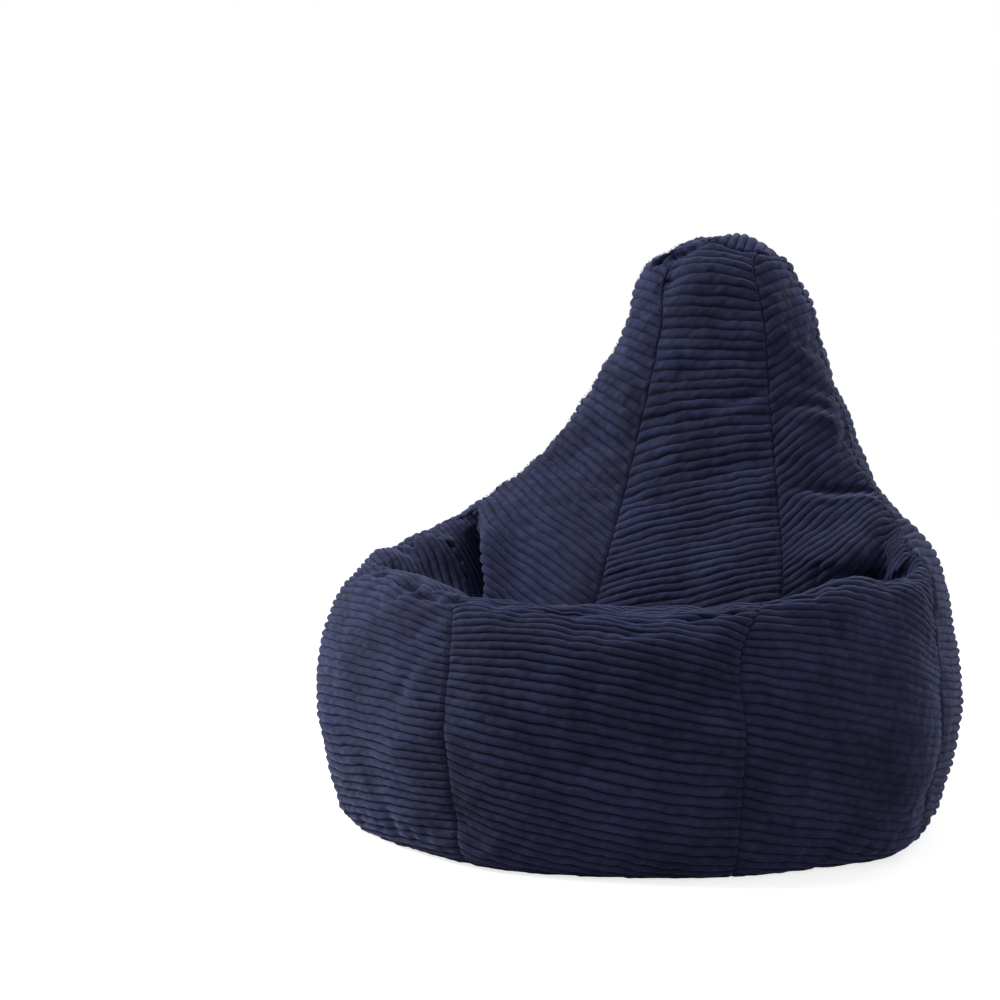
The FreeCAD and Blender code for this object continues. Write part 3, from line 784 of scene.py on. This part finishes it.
def cord_finish(colours):
    """Jumbo cord: brushed pile with a soft sheen, lighter where the pile lies over. Darker in the rib
    grooves, partly the darker weave showing and partly painted shade, with painted shade beside the seams and
    a painted highlight on the rib tops.
    """
    material, tree, shader = node_tree("navy cord")
    where = tree.nodes.new("ShaderNodeTexCoord").outputs["Object"]
    cord = tuple(colours.cord)
    patches = ramp(tree, noise(tree, where, 9.0, 4.0), 0.32, 0.72, scaled(cord, 0.64), scaled(cord, 1.42))
    streaks = ramp(tree, noise(tree, where, 60.0, 3.0), 0.30, 0.75, (0.78, 0.78, 0.80), (1.25, 1.25, 1.22))
    pile = ramp(tree, noise(tree, where, 900.0, 2.0), 0.30, 0.70, (0.72, 0.72, 0.74), (1.22, 1.22, 1.20))
    colour = mixed(tree, "MULTIPLY", mixed(tree, "MULTIPLY", patches, streaks), pile)
    # Painted shade and highlight: the pile attribute (the rib height) darkens the colour in the grooves,
    # partly the darker weave and partly painted shade, darkens it beside the seams as painted shade, and
    # lightens the rib tops as a painted highlight.
    height = tree.nodes.new("ShaderNodeAttribute")
    height.attribute_name = "pile"
    groove = ramp(tree, height.outputs["Fac"], 0.10, 0.85, (0.40, 0.38, 0.38), (1.26, 1.26, 1.24))
    colour = mixed(tree, "MULTIPLY", colour, groove)
    tree.links.new(colour, shader.inputs["Base Color"])
    rough = ramp(tree, noise(tree, where, 40.0, 3.0), 0.3, 0.7, (0.78,) * 3, (0.94,) * 3)
    tree.links.new(rough, shader.inputs["Roughness"])
    shader.inputs["Specular IOR Level"].default_value = 0.12
    shader.inputs["Sheen Weight"].default_value = 0.34
    shader.inputs["Sheen Roughness"].default_value = 0.38
    shader.inputs["Sheen Tint"].default_value = (*colours.sheen, 1)
    fine = bump(tree, noise(tree, where, 1400.0, 2.0), 0.35, 0.0006)
    tree.links.new(bump(tree, noise(tree, where, 160.0, 3.0), 0.25, 0.0010, fine), shader.inputs["Normal"])
    return material


def woven_finish(name, colour, threads=900.0, rough=0.85):
    """Plain woven tape or cloth with a fine grid of threads."""
    material, tree, shader = node_tree(name)
    where = tree.nodes.new("ShaderNodeTexCoord").outputs["Object"]
    heights = []
    for direction in ("X", "Z"):
        wave = tree.nodes.new("ShaderNodeTexWave")
        wave.bands_direction = direction
        wave.inputs["Scale"].default_value = threads
        wave.inputs["Distortion"].default_value = 0.6
        tree.links.new(where, wave.inputs["Vector"])
        heights.append(wave.outputs["Color"])
    weave = mixed(tree, "LIGHTEN", *heights)
    patches = ramp(tree, noise(tree, where, 40.0, 3.0), 0.3, 0.7, scaled(colour, 0.86), scaled(colour, 1.12))
    tree.links.new(patches, shader.inputs["Base Color"])
    shader.inputs["Roughness"].default_value = rough
    shader.inputs["Specular IOR Level"].default_value = 0.2
    shader.inputs["Sheen Weight"].default_value = 0.06
    shader.inputs["Sheen Tint"].default_value = (*scaled(colour, 3.0 if max(colour) < 0.3 else 1.0), 1)
    tree.links.new(bump(tree, weave, 0.3, 0.0003), shader.inputs["Normal"])
    return material


def moulded_finish(name, colour, rough, metallic=0.0):
    """Moulded or enamelled small parts with slight handling marks."""
    material, tree, shader = node_tree(name)
    where = tree.nodes.new("ShaderNodeTexCoord").outputs["Object"]
    patches = ramp(tree, noise(tree, where, 220.0, 4.0), 0.35, 0.7, scaled(colour, 0.85), scaled(colour, 1.2))
    tree.links.new(patches, shader.inputs["Base Color"])
    marks = ramp(tree, noise(tree, where, 500.0, 5.0), 0.4, 0.65, (rough * 0.8,) * 3, (rough * 1.2,) * 3)
    tree.links.new(marks, shader.inputs["Roughness"])
    shader.inputs["Metallic"].default_value = metallic
    tree.links.new(bump(tree, noise(tree, where, 700.0, 2.0), 0.15, 0.0002), shader.inputs["Normal"])
    return material


def bead_finish():
    """Loose expanded beads, with painted shade that greys each white bead towards its edge, where the beads
    meet.
    """
    material, tree, shader = node_tree("polystyrene beads")
    where = tree.nodes.new("ShaderNodeTexCoord").outputs["Object"]
    cells = tree.nodes.new("ShaderNodeTexVoronoi")
    cells.inputs["Scale"].default_value = 220.0
    tree.links.new(where, cells.inputs["Vector"])
    # Painted shade: each bead's white turns grey towards its cell's edge, between the beads.
    white = ramp(tree, cells.outputs["Distance"], 0.0, 0.8, (0.86, 0.86, 0.86), (0.55, 0.55, 0.56))
    tree.links.new(white, shader.inputs["Base Color"])
    shader.inputs["Roughness"].default_value = 0.6
    tree.links.new(bump(tree, cells.outputs["Distance"], 0.6, -0.0015), shader.inputs["Normal"])
    return material


def finish(name):
    """One shared material per finish, made when first asked for."""
    made = bpy.data.materials.get(name)
    if made:
        return made
    colours = bpy.context.scene.bean_bag_colours
    cord = tuple(colours.cord)
    makers = {
        "navy cord": lambda: cord_finish(colours),
        "navy tape": lambda: woven_finish("navy tape", scaled(cord, 1.2)),
        "seam thread": lambda: woven_finish("seam thread", tuple(colours.thread), 2500.0, 0.6),
        "liner cloth": lambda: woven_finish("liner cloth", tuple(colours.liner), 500.0),
        "label satin": lambda: woven_finish("label satin", (0.70, 0.70, 0.68), 2200.0, 0.5),
        "zip element": lambda: moulded_finish("zip element", (0.016, 0.017, 0.032), 0.38),
        "zip enamel": lambda: moulded_finish("zip enamel", (0.020, 0.021, 0.034), 0.30, 0.6),
        "polystyrene beads": bead_finish,
    }
    return makers[name]()


# ---------------------------------------------------------------- the bag, worked out once

SHAPE = {}


def bag_shape():
    """The filled bag's coarse grid and its normals, worked out at their first use."""
    if "grid" not in SHAPE:
        sizes = bpy.context.scene.bean_bag_sizes
        smooth = bag_surface(COARSE_ACROSS, COARSE_UP)
        SHAPE["grid"] = filled(folded(smooth), sizes.swell)
        SHAPE["normal"] = grid_normals(SHAPE["grid"])
    return SHAPE["grid"], SHAPE["normal"]


def gore_grid(number):
    """Columns of one panel, from its left seam to its right seam, and their normals."""
    grid, normal = bag_shape()
    first = seam_columns()[number] - 2 * COARSE_ACROSS
    columns = np.arange(first, first + 2 * COARSE_ACROSS + 1) % len(grid)
    return grid[columns], normal[columns]


def zip_dip(points):
    """How far the cloth drops below the zip let into the back panel."""
    upper = np.array(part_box("cover_zip_tape_upper"))
    lower = np.array(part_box("cover_zip_tape_lower"))
    level = (upper[0][2] + lower[1][2]) / 2
    half = upper[1][0]
    along = np.abs(points[..., 0]) - half
    off = np.abs(points[..., 2] - level)
    behind = points[..., 1] > 0.2
    return np.where(behind, (1 - smooth_step(0.010, 0.018, off)) * (1 - smooth_step(0.0, 0.012, along)), 0.0)


class BEANBAG_OT_gores(bpy.types.Operator):
    """Sew the six cord panels"""
    bl_idname = "beanbag.gores"
    bl_label = "Cord panels"

    def execute(self, context):
        sizes = context.scene.bean_bag_sizes
        for number, name in enumerate(GORES):
            body, creased, normal, lift, pile = panel_places(number, sizes)
            if name == "back_gore":
                dip = zip_dip(creased)
                lift = lift * (1 - dip) - ZIP_SINK * dip
            points = creased + normal * lift[..., None]
            points[..., 2] = np.maximum(points[..., 2], GROUND_GAP)
            quads = strip_collapsed(body)
            new_piece(name + "_cord", points, quads, finish("navy cord"), [name], pile)
        return {"FINISHED"}


class BEANBAG_OT_crown_cap(bpy.types.Operator):
    """Make the crown cap, its ribs running from front to back"""
    bl_idname = "beanbag.crown_cap"
    bl_label = "Crown cap"

    def execute(self, context):
        sizes = context.scene.bean_bag_sizes
        wall = bag_shape()[0]
        top = to_frame(CROWN_TOP)
        turn = np.linspace(0, 1, CAP_RINGS + 1)[:, None, None]
        fine = ring_spline(wall[:, -1], CAP_FINER)
        flat = fine[None] * (1 - turn) + top * turn
        rise = top[2] - fine[None, :, 2]
        flat[..., 2] = fine[None, :, 2] + rise * (1 - (1 - turn[..., 0]) ** 2)
        across = np.roll(flat, -1, 1) - np.roll(flat, 1, 1)
        normal = np.cross(across, np.gradient(flat, axis=0))
        normal[-1] = (0, 0, 1)
        normal /= np.maximum(np.linalg.norm(normal, axis=-1, keepdims=True), 1e-9)
        phase = flat[..., 0] / sizes.rib_pitch + 0.12 * waves(flat, 0.12, 41)
        edge = np.linalg.norm(flat - flat[:1], axis=-1)
        press = smooth_step(0.0, sizes.seam_width * 1.2, edge)
        lift = sizes.rib_height * (rib_profile(phase) - RIB_SUNK) * (0.2 + 0.8 * press)
        lift -= seam_sink(sizes, press)
        lift += 0.0030 * waves(flat, 0.09, 43) * press
        lift -= CAP_CREASE_DEPTH * fold_weight(flat, *CAP_CREASE) * press
        points = flat + normal * lift[..., None]
        # pile is the rib height for the cord finish's painted shade in the grooves and at the cap's seam, and
        # for its painted highlight on the rib tops.
        pile = rib_profile(phase) * (0.35 + 0.65 * press)

        # The cap's seam allowance, turned down behind the gores' top edge.
        inward = top - wall[:, -2]
        inward /= np.linalg.norm(inward, axis=-1, keepdims=True)
        allowance = ring_spline(wall[:, -2] + inward * CAP_ALLOWANCE_INSET, CAP_FINER)
        points = np.concatenate([allowance[None], points])
        pile = np.concatenate([pile[:1], pile])
        new_piece("crown_cap_cord", points, ring_quads(*points.shape[:2]), finish("navy cord"), ["crown_cap"],
                  pile)
        return {"FINISHED"}


class BEANBAG_OT_base_panel(bpy.types.Operator):
    """Make the ribbed base panel with its turned-up edge"""
    bl_idname = "beanbag.base_panel"
    bl_label = "Base panel"

    def execute(self, context):
        sizes = context.scene.bean_bag_sizes
        turn = np.linspace(0, 1, BASE_RINGS + 1)[:, None, None]
        fine = ring_spline(bag_shape()[0][:, 0], BASE_FINER)
        flat = fine[None] * (1 - turn)
        rib = rib_profile(flat[..., 0] / sizes.rib_pitch)
        flat[..., 2] = BASE_GAP + BASE_RIB_HEIGHT * (1 - rib)
        flat[..., 2] += BASE_TURN_UP * (1 - smooth_step(0.0, 0.05, turn[..., 0]))
        # The rib height is the pile for the cord finish's painted shade in the grooves and painted highlight
        # on the rib tops.
        new_piece("base_panel_cord", flat, ring_quads(*flat.shape[:2], facing_down=True), finish("navy cord"),
                  ["base_panel"], rib)
        return {"FINISHED"}


# ---------------------------------------------------------------- threads, tapes and what is inside

def stitch(start, end, out, radius, sides=6):
    """A short rounded thread between two places, bowed out at its middle."""
    along = end - start
    length = np.linalg.norm(along)
    along = along / length
    side = np.cross(along, out)
    side /= np.linalg.norm(side)
    up = np.cross(side, along)
    rings = []
    for share, thick in ((0.0, 0.25), (0.12, 0.85), (0.5, 1.0), (0.88, 0.85), (1.0, 0.25)):
        centre = start + along * length * share + up * radius * 0.8 * math.sin(share * math.pi)
        angle = np.arange(sides) / sides * 2 * math.pi
        rings.append(centre + radius * thick * (np.cos(angle)[:, None] * side + np.sin(angle)[:, None] * up))
    return np.array(rings)


def stitched_line(path, outward, pitch, length, radius):
    """Stitches along a path of places: points and faces of one mesh."""
    step = np.linalg.norm(np.diff(path, axis=0), axis=1)
    run = np.concatenate([[0.0], np.cumsum(step)])

    def at(values, place):
        return np.array([np.interp(place, run, values[:, k]) for k in range(3)])

    points, faces = [], []
    for begin in np.arange(pitch, run[-1] - pitch, pitch):
        rings = stitch(at(path, begin), at(path, begin + length), at(outward, begin), radius)
        count, sides = rings.shape[:2]
        quads = ring_quads(count, sides) + len(points) * count * sides
        points.append(rings.reshape(-1, 3))
        faces += quads.tolist()
    return np.concatenate(points), faces


class BEANBAG_OT_stitching(bpy.types.Operator):
    """Run the top-stitching beside each panel's seam"""
    bl_idname = "beanbag.stitching"
    bl_label = "Top-stitching"

    def execute(self, context):
        sizes = context.scene.bean_bag_sizes
        press = float(smooth_step(0.0, sizes.seam_width, STITCH_OFFSET))
        lift = sizes.rib_height * 0.30 - seam_sink(sizes, press)
        ends = slice(4, -2)
        for number, name in enumerate(GORES):
            grid, normal = gore_grid(number)
            step = np.linalg.norm(grid[-2] - grid[-1], axis=-1, keepdims=True)
            share = np.clip(STITCH_OFFSET / step, 0, 1)
            line = grid[-1] * (1 - share) + grid[-2] * share + normal[-1] * lift
            points, faces = stitched_line(line[ends], normal[-1][ends], STITCH_PITCH, STITCH_LENGTH,
                                          STITCH_RADIUS)
            new_piece(name + "_stitching", points, faces, finish("seam thread"), ())
        return {"FINISHED"}


def ribbon(centre, across, inward, width, thickness):
    """A flat tape along a path: places of its four edges."""
    corners = [centre - across * width / 2,
               centre + across * width / 2,
               centre + across * width / 2 + inward * thickness,
               centre - across * width / 2 + inward * thickness]
    return np.stack(corners, 1)


def ribbon_faces(length, closed, start=0):
    """Faces round a tape of length places, with its two ends unless it is closed on itself."""
    faces = []
    last = length if closed else length - 1
    for k in range(last):
        a, b = start + 4 * k, start + 4 * ((k + 1) % length)
        faces += [(a + i, a + (i + 1) % 4, b + (i + 1) % 4, b + i) for i in range(4)]
    if not closed:
        faces += [(start + 3, start + 2, start + 1, start),
                  tuple(start + 4 * (length - 1) + i for i in range(4))]
    return faces


class BEANBAG_OT_bindings(bpy.types.Operator):
    """Bind the seam allowances inside the cover"""
    bl_idname = "beanbag.bindings"
    bl_label = "Seam bindings"

    def execute(self, context):
        grid, normal = bag_shape()
        across = np.roll(grid, -1, 0) - np.roll(grid, 1, 0)
        across /= np.linalg.norm(across, axis=-1, keepdims=True)
        points, faces = [], []
        rows = slice(8, -6)
        for column in seam_columns():
            inward = -normal[column, rows]
            centre = grid[column, rows] + inward * TAPE_DEPTH
            band = ribbon(centre, across[column, rows], inward, SEAM_TAPE_WIDTH, TAPE_THICKNESS)
            faces += ribbon_faces(len(band), False, sum(len(p) for p in points))
            points.append(band.reshape(-1, 3))
        new_piece("gore_seam_tape", np.concatenate(points), faces, finish("navy tape"),
                  ["gore_seam_bindings"])
        for name, row, node in (("base_seam_tape", 3, "base_seam_binding"),
                                ("crown_seam_tape", -4, "crown_seam_binding")):
            inward = -normal[:, row]
            centre = grid[:, row] + inward * TAPE_DEPTH
            upward = np.gradient(grid, axis=1)[:, row]
            upward /= np.linalg.norm(upward, axis=-1, keepdims=True)
            band = ribbon(centre, upward, inward, EDGE_TAPE_WIDTH, TAPE_THICKNESS)
            new_piece(name, band.reshape(-1, 3), ribbon_faces(len(band), True), finish("navy tape"),
                      [node])
        return {"FINISHED"}


def shrunk_bag(depth, low):
    """A closed inner bag: the smooth bag drawn in by depth, and further wherever a fold presses in."""
    smooth = bag_surface(COARSE_ACROSS, COARSE_UP)
    normal = grid_normals(smooth)
    press = np.zeros(smooth.shape[:-1])
    for centre, along, length, width, push in FOLDS:
        weight = fold_weight(smooth, centre, along, length * FOLD_MARGIN_ALONG, width * FOLD_MARGIN_SIDE)
        press = np.minimum(press, weight * np.minimum(normal @ np.array(push), 0.0))
    inner = smooth + normal * (press - depth)[..., None]
    inner[..., 2] = np.maximum(inner[..., 2], low)
    around, rows = inner.shape[:2]
    points = inner.reshape(-1, 3)
    index = np.arange(around * rows).reshape(around, rows)
    after = np.roll(index, -1, 0)
    faces = np.stack([index[:, :-1], after[:, :-1], after[:, 1:], index[:, 1:]], -1).reshape(-1, 4).tolist()
    bottom, crown = len(points), len(points) + 1
    ends = np.array([inner[:, 0].mean(0), inner[:, -1].mean(0)])
    points = np.concatenate([points, ends])
    faces += [(int(after[k, 0]), int(index[k, 0]), bottom) for k in range(around)]
    faces += [(int(index[k, -1]), int(after[k, -1]), crown) for k in range(around)]
    return points, faces


class BEANBAG_OT_inside(bpy.types.Operator):
    """Make the liner and the bead fill inside the cover"""
    bl_idname = "beanbag.inside"
    bl_label = "Liner and beads"

    def execute(self, context):
        points, faces = shrunk_bag(LINER_DEPTH, LINER_FLOOR)
        new_piece("liner_bag", points, faces, finish("liner cloth"), ["liner_wall", "liner_base"])
        points, faces = shrunk_bag(BEADS_DEPTH, BEADS_FLOOR)
        new_piece("bead_filling", points, faces, finish("polystyrene beads"), ["bead_fill"])
        return {"FINISHED"}


class BEANBAG_OT_zip(bpy.types.Operator):
    """Finish the zips, the flap over the parked slider and the label"""
    bl_idname = "beanbag.zip"
    bl_label = "Zips and label"

    def execute(self, context):
        finishes = {"zip_garage": "navy tape", "care_label": "label satin", "liner_zip_tape": "liner cloth",
                    "cover_zip_tape": "navy tape", "zip_elements": "zip element", "zip_stop": "zip enamel",
                    "zip_slider": "zip enamel"}
        for name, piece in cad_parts.items():
            for words, made_of in finishes.items():
                if words in name:
                    self.dress(piece, made_of)
        return {"FINISHED"}

    @staticmethod
    def dress(piece, name):
        material = finish(name)
        if not piece.material_slots:
            piece.data.materials.append(material)
        for place in piece.material_slots:
            place.material = material


# ---------------------------------------------------------------- floor, light and camera

CAMERA_TURN = 12.0         # degrees round from the front, towards +X
CAMERA_DISTANCE = 2.75
CAMERA_HEIGHT = 0.54
CAMERA_LENS = 72.0         # millimetres on a 36 mm sensor
AIM_SIDE = -0.0715         # how far the view's middle lies left of the chair, as a slope
AIM_DROP = 0.0375          # how far the view tips down, as a slope

FLOOR_REACH = 9.0          # metres each way
FLOOR_GLOW = 0.76          # what the floor adds for the camera, to look white and keep the shadow
SKY_LIGHT = 0.42           # the plain white surroundings as a lamp; the camera sees them at 1

# Studio lamps: name, place, what it points at, width (metres) and watts.
LAMPS = [
    ("key", (-2.6, -0.9, 2.6), (0.0, 0.0, 0.35), 1.4, 124),
    ("fill", (3.0, -1.4, 0.7), (0.0, 0.0, 0.40), 2.6, 25),
    ("side", (-3.0, 0.4, 1.5), (0.0, 0.0, 0.35), 1.4, 27),
    ("rim", (1.6, 2.2, 2.2), (0.0, 0.0, 0.45), 1.6, 30),
]


def area_light(name, place, target, size, power):
    """A square studio lamp that points at its target."""
    lamp = bpy.data.lights.new(name, "AREA")
    lamp.energy = power
    lamp.size = size
    item = bpy.data.objects.new(name, lamp)
    item.location = place
    item.rotation_euler = (Vector(target) - Vector(place)).to_track_quat("-Z", "Y").to_euler()
    bpy.context.scene.collection.objects.link(item)


def white_floor():
    """A pale floor that keeps the chair's shadow and looks white to the camera."""
    material, tree, shader = node_tree("studio floor")
    shader.inputs["Base Color"].default_value = (0.5, 0.5, 0.5, 1)
    shader.inputs["Roughness"].default_value = 0.9
    shader.inputs["Emission Color"].default_value = (1, 1, 1, 1)
    path = tree.nodes.new("ShaderNodeLightPath")
    level = tree.nodes.new("ShaderNodeMapRange")
    level.inputs["To Min"].default_value = 0.0
    level.inputs["To Max"].default_value = FLOOR_GLOW
    tree.links.new(path.outputs["Is Camera Ray"], level.inputs["Value"])
    tree.links.new(level.outputs["Result"], shader.inputs["Emission Strength"])
    return material


class BEANBAG_OT_stage(bpy.types.Operator):
    """Set the floor, the studio light and the camera"""
    bl_idname = "beanbag.stage"
    bl_label = "Studio"

    def execute(self, context):
        scene = context.scene
        scene.view_settings.view_transform = "Standard"
        mesh = bpy.data.meshes.new("studio_floor")
        corners = [(x * FLOOR_REACH, y * FLOOR_REACH, 0) for x, y in ((-1, -1), (1, -1), (1, 1), (-1, 1))]
        mesh.from_pydata(corners, [], [(0, 1, 2, 3)])
        floor = bpy.data.objects.new("studio_floor", mesh)
        scene.collection.objects.link(floor)
        mesh.materials.append(white_floor())

        world = bpy.data.worlds.new("studio")
        scene.world = world
        world.use_nodes = True
        tree = world.node_tree
        back = tree.nodes["Background"]
        back.inputs["Color"].default_value = (1, 1, 1, 1)
        path = tree.nodes.new("ShaderNodeLightPath")
        seen = tree.nodes.new("ShaderNodeMath")
        seen.operation = "MAXIMUM"
        tree.links.new(path.outputs["Is Camera Ray"], seen.inputs[0])
        tree.links.new(path.outputs["Is Glossy Ray"], seen.inputs[1])
        level = tree.nodes.new("ShaderNodeMapRange")
        level.inputs["To Min"].default_value = SKY_LIGHT
        level.inputs["To Max"].default_value = 1.0
        tree.links.new(seen.outputs[0], level.inputs["Value"])
        tree.links.new(level.outputs["Result"], back.inputs["Strength"])

        for lamp in LAMPS:
            area_light(*lamp)

        turn = math.radians(CAMERA_TURN)
        place = Vector((CAMERA_DISTANCE * math.sin(turn), -CAMERA_DISTANCE * math.cos(turn), CAMERA_HEIGHT))
        ahead = Vector((-math.sin(turn), math.cos(turn), 0.0))
        right = Vector((math.cos(turn), math.sin(turn), 0.0))
        look = (ahead + right * AIM_SIDE).normalized() - Vector((0, 0, AIM_DROP))
        data = bpy.data.cameras.new("camera")
        data.lens = CAMERA_LENS
        data.sensor_width = 36.0
        camera = bpy.data.objects.new("camera", data)
        camera.location = place
        camera.rotation_euler = look.to_track_quat("-Z", "Y").to_euler()
        scene.collection.objects.link(camera)
        scene.camera = camera
        return {"FINISHED"}


class BEANBAG_PT_sidebar(bpy.types.Panel):
    """Lists the chair's pieces and sizes"""
    bl_label = "Bean Bag Chair"
    bl_idname = "BEANBAG_PT_sidebar"
    bl_space_type = "VIEW_3D"
    bl_region_type = "UI"
    bl_category = "Bean Bag"

    def draw(self, context):
        layout = self.layout
        for group in (context.scene.bean_bag_sizes, context.scene.bean_bag_colours):
            box = layout.box()
            for key in group.bl_rna.properties.keys():
                if key not in {"rna_type", "name"}:
                    box.prop(group, key)
        for operator in OPERATORS:
            layout.operator(operator.bl_idname)


OPERATORS = [BEANBAG_OT_gores, BEANBAG_OT_crown_cap, BEANBAG_OT_base_panel, BEANBAG_OT_stitching,
             BEANBAG_OT_bindings, BEANBAG_OT_inside, BEANBAG_OT_zip, BEANBAG_OT_stage]
CLASSES = [BeanBagSizes, BeanBagColours] + OPERATORS + [BEANBAG_PT_sidebar]


def register():
    """Make the operators, the panel and the sizes known to Blender."""
    for item in CLASSES:
        bpy.utils.register_class(item)
    bpy.types.Scene.bean_bag_sizes = bpy.props.PointerProperty(type=BeanBagSizes)
    bpy.types.Scene.bean_bag_colours = bpy.props.PointerProperty(type=BeanBagColours)


def unregister():
    """Take them away again."""
    del bpy.types.Scene.bean_bag_colours
    del bpy.types.Scene.bean_bag_sizes
    for item in reversed(CLASSES):
        bpy.utils.unregister_class(item)


def main():
    """Make the whole chair and its studio."""
    register()
    bpy.ops.beanbag.gores()
    bpy.ops.beanbag.crown_cap()
    bpy.ops.beanbag.base_panel()
    bpy.ops.beanbag.stitching()
    bpy.ops.beanbag.bindings()
    bpy.ops.beanbag.inside()
    bpy.ops.beanbag.zip()
    bpy.ops.beanbag.stage()


if __name__ == "__main__":
    main()
